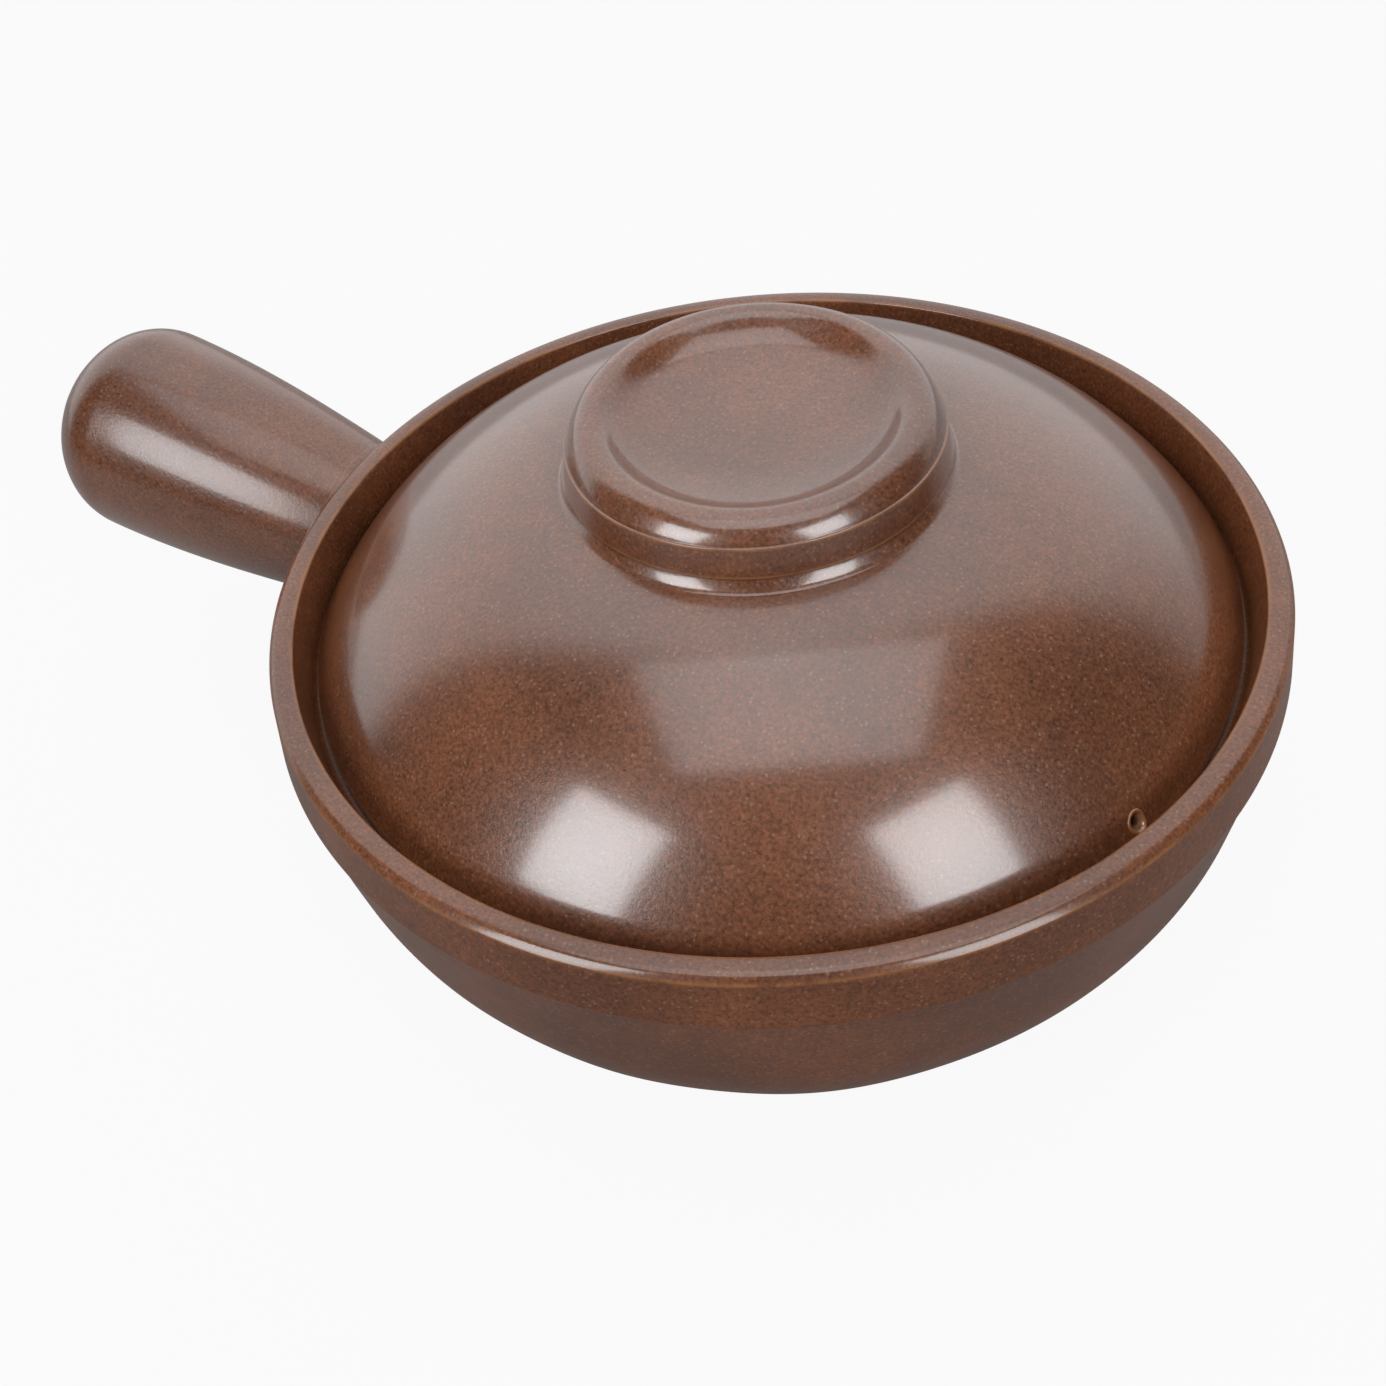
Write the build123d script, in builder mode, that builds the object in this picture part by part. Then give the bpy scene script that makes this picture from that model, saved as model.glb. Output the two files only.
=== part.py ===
"""A brown stoneware pot with one stub handle, a domed lid and a ring knob.

Millimetres, +Z up. The origin is the centre of the flat base, and the handle points along -X.
"""
import os
from math import cos, radians, sin, sqrt, tan

from build123d import *

# Bowl, outside
rim_radius = 95.1          # at the crisp edge between the lip and the band
rim_height = 63.6          # of that edge over the base
lip_shoulder = 0.5         # flat between the edge and the round of the lip
lip_width = 3.6            # from the edge in to the lip's inner side
lip_crown = 1.8            # of the lip's top over the edge
band_height = 9.6
band_flare = 1.7           # how much wider the band is at its foot
band_step = 1.2            # how far the wall lies inside the band's foot
band_bevel = 0.7           # height of that step
wall_taper = 7.0           # degrees from upright
base_curve = 39.0          # radius of the turn from the wall to the base

# Bowl, inside
wall = 6.6
floor = 7.0
seat_draft = 2.2           # how much narrower the mouth is at the ledge than inside the lip
lid_play = 1.3             # round the lid's edge, at the height of its seat
ledge_depth = 9.6          # from the rim's edge down to the ledge
ledge_thickness = 3.0
ledge_round = 1.0          # at the ledge's inner edges and in its corner
seat_width = 3.5           # of lid on ledge
seat_gap = 0.3             # left for the lid to lie freely

# Lid
lid_edge = 2.2             # height of the upright edge
lid_rise = 30.0            # of the crown over that edge
crown_inset = 5.85         # how far the flat crown ends inside the knob's side band
lid_wall = 5.0
lid_edge_round = 0.35
vent_radius = 1.7
vent_inset = 1.5           # from the lid's edge in to the middle of the steam hole
vent_tilt = 12.0           # degrees, down towards the inside
vent_turn = -24.0          # degrees round the lid, from +X

# Knob
knob_radius = 34.6         # at the lower edge of its side band
knob_lift = 1.8            # of that lower edge over the lid's crown
knob_band = 5.7            # height of the side band
knob_draft = 0.8           # how much narrower the band is at its top
knob_shoulder = 0.4        # small flat above and below the band
ring_rise = 5.2            # from the band to the top of the ring
ring_width = 2.8           # from the band in to the top of the ring
dish_radius = 26.0         # at the crease inside the ring
crease_drop = 3.4          # from the ring's top down to that crease
dish_depth = 2.5           # from the crease down to the dish's floor
dish_slope = 2.3           # how far in the dish's floor starts
cove_width = 2.6           # of the hollow round at the knob's foot

# Handle
handle_height = 44.2       # of its axis where it meets the wall
handle_tilt = 14.4         # degrees upwards
handle_length = 79.3       # from the wall to the tip
handle_root_radius = 17.2
handle_end_radius = 23.0
handle_end_depth = 17.8    # of the rounded end
handle_wall = 5.5
handle_root_depth = 18.0   # built into the wall before the root is cut to it
firing_vent_radius = 1.25
firing_vent_place = 16.0   # along the handle, from the wall

# Collar round the handle's root
collar_length = 6.0        # out from the wall
collar_flare = 2.4         # at the wall, over the step
collar_step = 0.5          # of clay at its outer end

# Cuts run past what they cut by this much
overrun = 5.0

# Swell of the handle: its slope at the root, as a multiple of its mean slope
root_slope_share = 1.57

# Section of the collar: how far out from the wall, and how much of the flare is left there
collar_shares = ((-0.8, 1.5), (0.0, 1.0), (0.35, 0.45), (0.7, 0.12), (1.0, 0.0))

# Height of the lip's inner side over the rim's edge, as a share of the lip's crown
lip_inner_share = 0.25


# Heights and radii that follow
ledge_height = rim_height - ledge_depth
band_foot_radius = rim_radius + band_flare
band_foot_height = rim_height - band_height
wall_radius = band_foot_radius - band_step
wall_top = band_foot_height - band_bevel
taper = radians(wall_taper)
base_corner = wall_radius - wall_top * tan(taper)
lip_inner_radius = rim_radius - lip_width
lip_outer_radius = rim_radius - lip_shoulder
lip_crown_radius = (lip_outer_radius + lip_inner_radius) / 2
lip_top = rim_height + lip_crown
lip_inner_height = rim_height + lip_inner_share * lip_crown
seat_wall_radius = lip_inner_radius - seat_draft
lid_radius = seat_wall_radius - lid_play
ledge_radius = lid_radius - seat_width

lid_bottom = ledge_height + seat_gap
lid_edge_top = lid_bottom + lid_edge
crown_height = lid_edge_top + lid_rise
crown_radius = knob_radius - crown_inset
dome_run = lid_radius - crown_radius
dome_curve = (dome_run**2 + lid_rise**2) / (2 * lid_rise)
dome_centre = crown_height - dome_curve

band_bottom = crown_height + knob_lift
band_top = band_bottom + knob_band
band_top_radius = knob_radius - knob_draft
ring_top = band_top + ring_rise
ring_top_radius = band_top_radius - ring_width
crease_height = ring_top - crease_drop
dish_floor = crease_height - dish_depth
dish_floor_radius = dish_radius - dish_slope


def wall_outside_radius(height):
    """Radius of the bowl's outer wall at a height, under the band."""
    return base_corner + height * tan(taper)


def wall_inside_radius(height):
    """Radius of the bowl's inner wall at a height."""
    return wall_outside_radius(height) - wall / cos(taper)


def dome_height(radius, thickness=0.0):
    """Height of the dome's section at a radius, that much clay below its outer face."""
    curve = dome_curve - thickness
    return dome_centre + sqrt(curve**2 - (radius - crown_radius) ** 2)


def dome_radius_at(height, thickness=0.0):
    """Radius of the dome's section at a height, that much clay below its outer face."""
    curve = dome_curve - thickness
    return crown_radius + sqrt(curve**2 - (height - dome_centre) ** 2)


def dome_arc(start, end, thickness=0.0):
    """Arc of the dome's section between two radii."""
    middle = (start + end) / 2
    points = [(radius, dome_height(radius, thickness)) for radius in (start, middle, end)]
    return ThreePointArc(*points)


# Bowl: its outer form is kept, because the handle and its collar are cut to it
with BuildPart() as bowl_form:
    with BuildSketch(Plane.XZ) as outer_section:
        with BuildLine():
            Polyline(
                (0, 0),
                (base_corner, 0),
                (wall_radius, wall_top),
                (band_foot_radius, band_foot_height),
                (rim_radius, rim_height),
                (lip_outer_radius, rim_height),
            )
            outer_round = (lip_outer_radius - lip_crown_radius, lip_top - rim_height)
            inner_round = (lip_crown_radius - lip_inner_radius, lip_top - lip_inner_height)
            EllipticalCenterArc((lip_crown_radius, rim_height), *outer_round, start_angle=0, arc_size=90)
            EllipticalCenterArc((lip_crown_radius, lip_inner_height), *inner_round, start_angle=90, arc_size=90)
            Polyline((lip_inner_radius, lip_inner_height), (0, lip_inner_height), (0, 0))
        make_face()
        base_turn = outer_section.vertices().sort_by_distance((base_corner, 0, 0))[0]
        fillet(base_turn, radius=base_curve)
    revolve(axis=Axis.Z)

with BuildPart() as bowl:
    add(bowl_form.part)
    with BuildSketch(Plane.XZ) as inner_section:
        ledge_foot = ledge_height - ledge_thickness
        underside_run = wall_inside_radius(ledge_foot) - ledge_radius
        underside_foot = ledge_foot - underside_run
        with BuildLine():
            mouth_height = lip_inner_height + overrun
            Polyline(
                (0, floor),
                (wall_inside_radius(floor), floor),
                (wall_inside_radius(underside_foot), underside_foot),
                (ledge_radius, ledge_foot),
                (ledge_radius, ledge_height),
                (seat_wall_radius, ledge_height),
                (lip_inner_radius, lip_inner_height),
                (lip_inner_radius, mouth_height),
                (0, mouth_height),
                (0, floor),
            )
        make_face()
        floor_turn = inner_section.vertices().sort_by_distance((wall_inside_radius(floor), floor, 0))[0]
        fillet(floor_turn, radius=base_curve - wall)
        ledge_corners = inner_section.vertices().filter_by_position(Axis.X, ledge_radius, seat_wall_radius)
        ledge_corners = ledge_corners.filter_by_position(Axis.Y, ledge_foot, ledge_height)
        fillet(ledge_corners, radius=ledge_round)
    revolve(axis=Axis.Z, mode=Mode.SUBTRACT)
bowl.part.label = "bowl"


# Handle: a hollow stub that swells towards its end, open at the root, closed by the bowl's wall
handle_direction = (-cos(radians(handle_tilt)), 0, sin(radians(handle_tilt)))
handle_root = (-wall_outside_radius(handle_height), 0, handle_height)
handle_plane = Plane(origin=handle_root, x_dir=handle_direction, z_dir=(0, 1, 0))
handle_axis = Axis(handle_root, handle_direction)
swell_length = handle_length - handle_end_depth
handle_downwards = (-sin(radians(handle_tilt)), 0, -cos(radians(handle_tilt)))
handle_slope = root_slope_share * (handle_end_radius - handle_root_radius) / swell_length
firing_vent_start = tuple(at + firing_vent_place * way for at, way in zip(handle_root, handle_direction))


def handle_outline(thickness):
    """Half section of the handle, that much clay below its outer face, along its own axis."""
    root = handle_root_radius - thickness
    end = handle_end_radius - thickness
    cap = handle_end_depth - thickness
    root_slope = root_slope_share * (end - root) / swell_length
    Polyline((swell_length + cap, 0), (-handle_root_depth, 0), (-handle_root_depth, root), (0, root))
    Spline((0, root), (swell_length, end), tangents=((1, root_slope), (1, 0)))
    EllipticalCenterArc((swell_length, 0), cap, end, start_angle=0, arc_size=90)


with BuildPart() as handle_form:
    with BuildSketch(handle_plane):
        with BuildLine():
            handle_outline(0)
        make_face()
    revolve(axis=handle_axis)

with BuildPart() as handle:
    add(handle_form.part)
    with BuildSketch(handle_plane):
        with BuildLine():
            handle_outline(handle_wall)
        make_face()
    revolve(axis=handle_axis, mode=Mode.SUBTRACT)
    add(bowl_form.part, mode=Mode.SUBTRACT)
    with BuildSketch(Plane(origin=firing_vent_start, z_dir=handle_downwards)):
        Circle(firing_vent_radius)
    extrude(amount=handle_root_radius + overrun, mode=Mode.SUBTRACT)
handle.part.label = "handle"

# Collar: sections parallel to the wall, each the handle's slanted section with some clay round it.
# The flare is left out at the top, where the collar stays under the rim's edge.
wall_normal = (-cos(taper), 0, -sin(taper))
slant = radians(handle_tilt) + taper
slant_squeeze = cos(slant) ** 2 - (handle_slope * sin(slant)) ** 2

with BuildPart() as handle_collar:
    for out_share, flare_share in collar_shares:
        along = collar_length * out_share / cos(slant)
        radius = handle_root_radius + handle_slope * along
        flare = collar_flare * flare_share
        centre = Vector(*handle_root) + Vector(*handle_direction) * along
        centre_lift = radius * handle_slope * sin(slant) / slant_squeeze - flare / 2
        half_height = radius * cos(slant) / slant_squeeze + collar_step + flare / 2
        with BuildSketch(Plane(origin=centre, x_dir=(0, -1, 0), z_dir=wall_normal)):
            with Locations((0, centre_lift)):
                Ellipse(radius + collar_step + flare, half_height)
    loft()
    add(handle_form.part, mode=Mode.SUBTRACT)
    add(bowl_form.part, mode=Mode.SUBTRACT)
handle_collar.part.label = "handle_collar"


# Lid: a flat crown under the knob, a dome of one radius from there out, and an upright edge on the ledge
with BuildPart() as lid:
    with BuildSketch(Plane.XZ) as lid_section:
        inside = dome_radius_at(lid_bottom, lid_wall)
        with BuildLine():
            dome_arc(crown_radius, lid_radius)
            Polyline((lid_radius, dome_height(lid_radius)), (lid_radius, lid_bottom), (inside, lid_bottom))
            dome_arc(inside, crown_radius, lid_wall)
            Polyline((crown_radius, crown_height - lid_wall), (0, crown_height - lid_wall), (0, crown_height),
                     (crown_radius, crown_height))
        make_face()
        edge_corners = lid_section.vertices().group_by(Axis.X)[-1]
        fillet(edge_corners, radius=lid_edge_round)
    revolve(axis=Axis.Z)
    vent_radius_place = lid_radius - vent_inset
    vent_tilt_angle = radians(vent_tilt)
    vent_outward = (
        cos(radians(vent_turn)) * cos(vent_tilt_angle),
        sin(radians(vent_turn)) * cos(vent_tilt_angle),
        sin(vent_tilt_angle),
    )
    vent_mouth = (
        vent_radius_place * cos(radians(vent_turn)),
        vent_radius_place * sin(radians(vent_turn)),
        dome_height(vent_radius_place),
    )
    with BuildSketch(Plane(origin=vent_mouth, z_dir=vent_outward)):
        Circle(vent_radius)
    extrude(amount=lid_wall + overrun, both=True, mode=Mode.SUBTRACT)
lid.part.label = "lid"


# Knob: a cove, an upright side band with crisp edges, a rounded ring and a shallow dish
with BuildPart() as knob:
    with BuildSketch(Plane.XZ):
        with BuildLine():
            cove_foot = (knob_radius + cove_width, dome_height(knob_radius + cove_width))
            cove_top = (knob_radius - knob_shoulder, band_bottom)
            ring_foot = (band_top_radius - knob_shoulder, band_top)
            ring_crown = (ring_top_radius, ring_top)
            crease = (dish_radius, crease_height)
            dome_arc(crown_radius, cove_foot[0])
            Spline(cove_foot, cove_top, tangents=((-1, 0), (0, 1)))
            Polyline(cove_top, (knob_radius, band_bottom), (band_top_radius, band_top), ring_foot)
            Spline(ring_foot, ring_crown, tangents=((0, 1), (-1, 0)))
            Spline(ring_crown, crease, tangents=((-1, 0), (-1, -1)))
            Spline(crease, (dish_floor_radius, dish_floor), tangents=((0, -1), (-1, 0)))
            Polyline((dish_floor_radius, dish_floor), (0, dish_floor), (0, crown_height), (crown_radius, crown_height))
        make_face()
    revolve(axis=Axis.Z)
knob.part.label = "knob"


os.makedirs("parts", exist_ok=True)
for piece in (bowl, handle, handle_collar, lid, knob):
    export_step(piece.part, f"parts/{piece.part.label}.step")
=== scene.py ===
"""Looks of a brown glazed clay pot with one stub handle, a domed lid and a ring knob.

Metres, in the frame of the packed solids. The clay pieces are turned as fine meshes whose masks
say where the glaze runs thin, where it pools, where shade is painted under the bowl's band, and where the
clay is left bare.
"""

from collections import namedtuple
from functools import cache
from math import atan, cos, exp, hypot, pi, radians, sin, sqrt, tan

import bmesh
import bpy
from bpy.props import FloatProperty, FloatVectorProperty, IntProperty, PointerProperty
from bpy.types import Operator, Panel, PropertyGroup
from mathutils import Matrix, Vector


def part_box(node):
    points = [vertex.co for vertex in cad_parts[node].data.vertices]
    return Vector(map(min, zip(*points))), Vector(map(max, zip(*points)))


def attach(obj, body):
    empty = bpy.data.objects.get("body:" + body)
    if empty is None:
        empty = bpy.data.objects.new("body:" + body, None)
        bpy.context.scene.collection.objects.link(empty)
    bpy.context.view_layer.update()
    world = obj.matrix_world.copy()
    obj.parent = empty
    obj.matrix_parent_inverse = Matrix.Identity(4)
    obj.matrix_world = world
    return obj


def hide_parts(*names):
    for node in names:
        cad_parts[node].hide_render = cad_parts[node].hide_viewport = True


bl_info = {
    "name": "Clay pot looks",
    "version": (1, 0, 0),
    "blender": (4, 5, 0),
    "location": "View3D > Sidebar > Clay Pot",
    "description": "Turns and glazes a lidded clay pot round its packed solids",
    "category": "Object",
}

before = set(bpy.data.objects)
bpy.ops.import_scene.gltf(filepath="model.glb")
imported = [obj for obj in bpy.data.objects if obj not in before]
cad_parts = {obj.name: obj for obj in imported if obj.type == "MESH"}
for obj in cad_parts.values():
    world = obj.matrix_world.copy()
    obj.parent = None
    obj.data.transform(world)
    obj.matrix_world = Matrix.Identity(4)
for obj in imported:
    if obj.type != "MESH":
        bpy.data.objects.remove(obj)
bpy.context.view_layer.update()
bowl_low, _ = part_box("bowl")
lid_low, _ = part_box("lid")

MM = 0.001

# How a glaze shines: weight and IOR of its clear coat, and specular level of the body under it
Shine = namedtuple("Shine", "coat coat_ior specular")
GLOSSY = Shine(0.8, 1.72, 0.25)
SATIN = Shine(0.5, 1.9, 0.12)
WORN = Shine(0.4, 1.72, 0.26)

# In pixels of a photograph 1386 across: its focal length, and the rim's middle from its own
PHOTO_FOCAL = 1400
RIM_RIGHT = 71.2
RIM_UP = 135.66
# In millimetres, as Blender's cameras have it
SENSOR_WIDTH = 36


def size(name, millimetres, description):
    """A length that a user can change, with its default given in millimetres."""
    return FloatProperty(
        name=name, description=description, default=millimetres * MM, unit="LENGTH", precision=5
    )


def angle(name, degrees, description):
    """An angle that a user can change, with its default given in degrees."""
    return FloatProperty(name=name, description=description, default=radians(degrees), unit="ROTATION")


def colour(name, default, description):
    """A linear colour that a user can change."""
    return FloatVectorProperty(
        name=name, description=description, default=default, subtype="COLOR", size=3, min=0, max=1
    )


def number(name, default, description):
    """A plain number that a user can change."""
    return FloatProperty(name=name, description=description, default=default)


class ClayPotBowl(PropertyGroup):
    """Sizes of the bowl."""

    rim_radius: size("Rim radius", 95.1, "Radius at the crisp edge between the lip and the band")
    rim_height: size("Rim height", 63.6, "Height of that edge over the base")
    lip_width: size("Lip width", 4.6, "From the edge in to the lip's inner side")
    lip_crown: size("Lip crown", 1.15, "Height of the lip's top over the edge")
    band_height: size("Band height", 9.6, "Height of the band under the lip")
    band_flare: size("Band flare", 1.45, "How much wider the band is at its foot")
    band_step: size("Band step", 0.8, "How far the wall lies inside the band's foot")
    band_bevel: size("Band bevel", 0.8, "Height of that step")
    wall_taper: angle("Wall taper", 7.0, "Lean of the wall from upright")
    base_curve: size("Base curve", 39.0, "Radius of the turn from the wall to the base")
    wall: size("Wall", 6.6, "Thickness of the wall")
    floor: size("Floor", 7.0, "Thickness of the floor")
    seat_draft: size("Seat draft", 1.2, "How much narrower the mouth is at the ledge than inside the lip")
    ledge_depth: size("Ledge depth", 9.6, "From the rim's edge down to the ledge")
    ledge_thickness: size("Ledge thickness", 3.0, "Thickness of the ledge's inner edge")
    ledge_width: size("Ledge width", 4.8, "Width of the ledge that the lid sits on")
    unevenness: size("Unevenness", 0.5, "How far the turned wall strays from a true round")


class ClayPotLid(PropertyGroup):
    """Sizes of the lid."""

    radius: size("Radius", 88.0, "Radius of the lid's edge")
    edge: size("Edge", 2.2, "Height of the upright edge")
    rise: size("Rise", 30.0, "Height of the crown over that edge")
    crown_radius: size("Crown radius", 28.75, "Radius of the flat crown under the knob")
    wall: size("Wall", 5.0, "Thickness of the lid")
    vent_radius: size("Steam hole radius", 1.7, "Radius of the steam hole")
    vent_inset: size("Steam hole inset", 1.5, "From the lid's edge in to the middle of the steam hole")
    vent_tilt: angle("Steam hole tilt", 12.0, "How steeply the steam hole falls towards the inside")
    vent_turn: angle("Steam hole turn", -24.0, "Where the steam hole is, from +X")
    unevenness: size("Unevenness", 0.05, "How far the dome strays from a true round")


class ClayPotKnob(PropertyGroup):
    """Sizes of the ring knob."""

    radius: size("Radius", 34.6, "Radius at the lower edge of the side band")
    lift: size("Lift", 1.8, "Height of that lower edge over the lid's crown")
    band: size("Band", 5.7, "Height of the side band")
    draft: size("Draft", 0.8, "How much narrower the band is at its top")
    shoulder: size("Shoulder", 0.4, "Small flat above and below the band")
    lean: size("Lean", 2.0, "How much higher the ring is on its far side, where it was set on by hand")
    lean_turn: angle("Lean turn", 116.2, "Where the ring is highest, from +X")


class ClayPotHandle(PropertyGroup):
    """Sizes of the handle and of the collar round its root."""

    height: size("Height", 45.0, "Height of the handle's axis where it meets the wall")
    tilt: angle("Tilt", 14.4, "How steeply the handle rises")
    length: size("Length", 78.6, "From the wall to the tip")
    root_radius: size("Root radius", 17.2, "Radius where the handle meets the wall")
    end_radius: size("End radius", 23.6, "Largest radius, near the end")
    end_depth: size("End depth", 17.8, "Depth of the rounded end")
    wall: size("Wall", 5.5, "Thickness of the handle's wall, seen in the firing vent")
    root_slope_share: number("Root slope share", 1.57, "Slope at the root over the mean slope")
    vent_radius: size("Firing vent radius", 1.25, "Radius of the hole on the underside")
    vent_place: size("Firing vent place", 16.0, "Along the handle, from the wall")
    collar_length: size("Collar length", 6.0, "How far the collar reaches out from the wall")
    collar_flare: size("Collar flare", 2.4, "Flare of the collar at the wall, over its step")
    collar_step: size("Collar step", 0.5, "Thickness of clay at the collar's outer end")
    sink: size("Sink", 0.4, "How far the handle and the collar reach into the wall")


class ClayPotFinish(PropertyGroup):
    """Colours of the glaze and the clay, and how finely the pieces are turned."""

    glaze: colour("Glaze", (0.170, 0.0555, 0.021), "Main colour of the glaze")
    # The deep glaze colour also paints the shade line at the foot of the bowl's band
    glaze_deep: colour("Deep glaze", (0.119, 0.0385, 0.0148), "Where the glaze lies thick")
    glaze_thin: colour("Thin glaze", (0.30, 0.115, 0.036), "Where the glaze runs thin over an edge")
    speck: colour("Speck", (0.32, 0.2, 0.14), "Pale specks in the glaze")
    clay: colour("Clay", (0.42, 0.27, 0.17), "Bare fired clay")
    clay_toasted: colour("Toasted clay", (0.27, 0.135, 0.07), "Bare clay beside the glaze")
    columns: IntProperty(name="Columns", description="Faces round each turned piece", default=384, min=24)


class ClayPotStage(PropertyGroup):
    """Camera, lamps and floor."""

    view_turn: angle("View turn", 26.2, "Turn of the camera round the pot")
    view_tilt: angle("View tilt", 40.511, "How steeply the camera looks down")
    view_roll: angle("View roll", -4.89, "Roll of the camera")
    view_distance: size("View distance", 269.7, "From the camera to the middle of the rim")
    aim_height: size("Aim height", 63.3, "Height of the middle of the rim")
    lens: number("Lens", 36.364, "Focal length in millimetres on a sensor 36 mm wide")
    aim_right_share: number("Aim right", RIM_RIGHT / PHOTO_FOCAL, "Tangent from the view to the rim")
    aim_up_share: number("Aim up", RIM_UP / PHOTO_FOCAL, "The same, upwards")
    softbox_light: number("Softbox light", 7.4, "Radiance of the two softboxes")
    ceiling_light: number("Ceiling light", 1.9, "Radiance of the panel overhead")
    sheet_light: number("Sheet light", 1.08, "Radiance of the white sheet behind the pot")
    room_light: number("Room light", 0.04, "Radiance of the rest of the room")


# Outlines


def round_off(corners, turn_step=radians(12), chord=0.8 * MM):
    """Points of an outline whose corners are (radius, height, round), with each corner rounded."""
    points = [Vector(corners[0][:2])]
    for before, corner, after in zip(corners, corners[1:], corners[2:]):
        middle, rounding = Vector(corner[:2]), corner[2]
        if not rounding:
            points.append(middle)
            continue
        back = (Vector(before[:2]) - middle).normalized()
        ahead = (Vector(after[:2]) - middle).normalized()
        half = back.angle(ahead) / 2
        run = rounding / tan(half)
        centre = middle + (back + ahead).normalized() * (rounding / sin(half))
        start, end = middle + back * run - centre, middle + ahead * run - centre
        sweep = start.angle_signed(end)
        steps = max(3, int(abs(sweep) * max(1 / turn_step, rounding / chord)) + 1)
        for step in range(steps + 1):
            points.append(centre + Matrix.Rotation(-sweep * step / steps, 2) @ start)
    points.append(Vector(corners[-1][:2]))
    return points


def fill_in(points, finest=0.22 * MM, growth=1.45, coarsest=1.6 * MM, straight=1.2 * MM):
    """Adds points to the straight parts of an outline, closer together near their ends."""
    filled = [points[0]]
    for start, end in zip(points, points[1:]):
        length = (end - start).length
        if length < straight:
            filled.append(end)
            continue
        steps, gap = [], finest
        while sum(steps) + gap < length / 2:
            steps.append(gap)
            gap = min(gap * growth, coarsest)
        places, at = [], 0.0
        for gap in steps:
            at += gap
            places.append(at)
        places += [length - place for place in reversed(places)]
        filled += [start.lerp(end, place / length) for place in places]
        filled.append(end)
    return filled


def arc_points(centre, curve, start, end, count):
    """Points on an arc between two angles, from the outline's radius axis."""
    angles = (start + (end - start) * step / count for step in range(count + 1))
    return [(centre[0] + curve * cos(a), centre[1] + curve * sin(a), 0) for a in angles]


def swept(start, parts, step=0.3 * MM):
    """Points of an outline that sets out inwards, from parts of (length, first slope, last slope).

    A slope is in degrees, and is positive where the outline rises.
    """
    at = Vector(start)
    points = [at.copy()]
    for length, first, last in parts:
        steps = max(4, int(length / step))
        for i in range(steps):
            slope = radians(first + (last - first) * (i + 0.5) / steps)
            at += Vector((-cos(slope), sin(slope))) * (length / steps)
            points.append(at.copy())
    return points


def clamped(value):
    """The value, held between 0 and 1."""
    return min(max(value, 0.0), 1.0)


def line_round(height, line, width):
    """A line round the pot: 1 at the line's height, and fading over a width above and below it."""
    return exp(-(((height - line) / width) ** 2))


def glaze_masks(points, spread=0.35 * MM, soft=0.45, crisp=1.3):
    """Where glaze runs thin over an outward bend, and where it pools in an inward one.

    A bend of the soft curvature, per millimetre, shows nothing, and one of the crisp curvature all.
    """
    lengths = [0.0]
    for start, end in zip(points, points[1:]):
        lengths.append(lengths[-1] + (end - start).length)
    bends = [0.0] * len(points)
    for i in range(1, len(points) - 1):
        before, after = points[i] - points[i - 1], points[i + 1] - points[i]
        if before.length and after.length:
            bends[i] = before.angle_signed(after)
    thin, pooled_and_shade = [], []
    for here in lengths:
        near = [
            (bend, (there - here) / spread)
            for bend, there in zip(bends, lengths)
            if abs(there - here) < 3 * spread
        ]
        curvature = sum(bend * exp(-(gap**2)) for bend, gap in near) / (sqrt(pi) * spread) * MM
        thin.append(clamped((-curvature - soft) / (crisp - soft)))
        pooled_and_shade.append(clamped((curvature - soft) / (crisp - soft)))
    return thin, pooled_and_shade


# Slopes of the lip from its crisp outer edge to the mouth
LIP = ((1.9 * MM, 64, 48), (0.55 * MM, 48, 20), (2.5 * MM, 20, -12), (1.5 * MM, -12, -85))


def wall_line(bowl):
    """Radius and height of the wall's top, under the band, and how far it leans in for each metre down."""
    wall_radius = bowl.rim_radius + bowl.band_flare - bowl.band_step
    wall_top = bowl.rim_height - bowl.band_height - bowl.band_bevel
    return wall_radius, wall_top, tan(bowl.wall_taper)


def bowl_outline(sizes):
    """The bowl's section, up the outside, over the lip and down the inside, with its bare mask."""
    wall_radius, wall_top, lean = wall_line(sizes)
    band_foot = sizes.rim_radius + sizes.band_flare
    band_foot_height = sizes.rim_height - sizes.band_height
    base_corner = wall_radius - wall_top * lean
    lip = swept((0, 0), LIP, 0.15 * MM)
    wider, higher = sizes.lip_width / -lip[-1].x, sizes.lip_crown / max(p.y for p in lip)
    lip_round = [(sizes.rim_radius + p.x * wider, sizes.rim_height + p.y * higher, 0) for p in lip[1:]]
    ledge = sizes.rim_height - sizes.ledge_depth
    ledge_foot = ledge - sizes.ledge_thickness
    seat_wall = sizes.rim_radius - sizes.lip_width - sizes.seat_draft
    ledge_inner = seat_wall - sizes.ledge_width
    inside = sizes.wall / cos(sizes.wall_taper)
    under_run = base_corner + ledge_foot * lean - inside - ledge_inner
    under_foot = ledge_foot - under_run
    corners = [
        (0, 0, 0),
        (base_corner, 0, sizes.base_curve),
        (wall_radius, wall_top, 0.5 * MM),
        (band_foot, band_foot_height, 0.7 * MM),
        (sizes.rim_radius, sizes.rim_height, 0.2 * MM),
        *lip_round,
        (seat_wall, ledge, 0.9 * MM),
        (ledge_inner, ledge, 0.8 * MM),
        (ledge_inner, ledge_foot, 0.8 * MM),
        (base_corner + under_foot * lean - inside, under_foot, 2.5 * MM),
        (base_corner + sizes.floor * lean - inside, sizes.floor, sizes.base_curve - sizes.wall),
        (0, sizes.floor, 0),
    ]
    points = fill_in(round_off(corners))
    glaze_stop = 0.6 * MM
    seat_edge = seat_wall - 2.6 * MM
    bare = []
    for point in points:
        on_base = point.y < glaze_stop
        on_ledge = abs(point.y - ledge) < 0.3 * MM and ledge_inner < point.x < seat_edge
        bare.append(1.0 if on_base or on_ledge else 0.0)
    return points, bare


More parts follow.
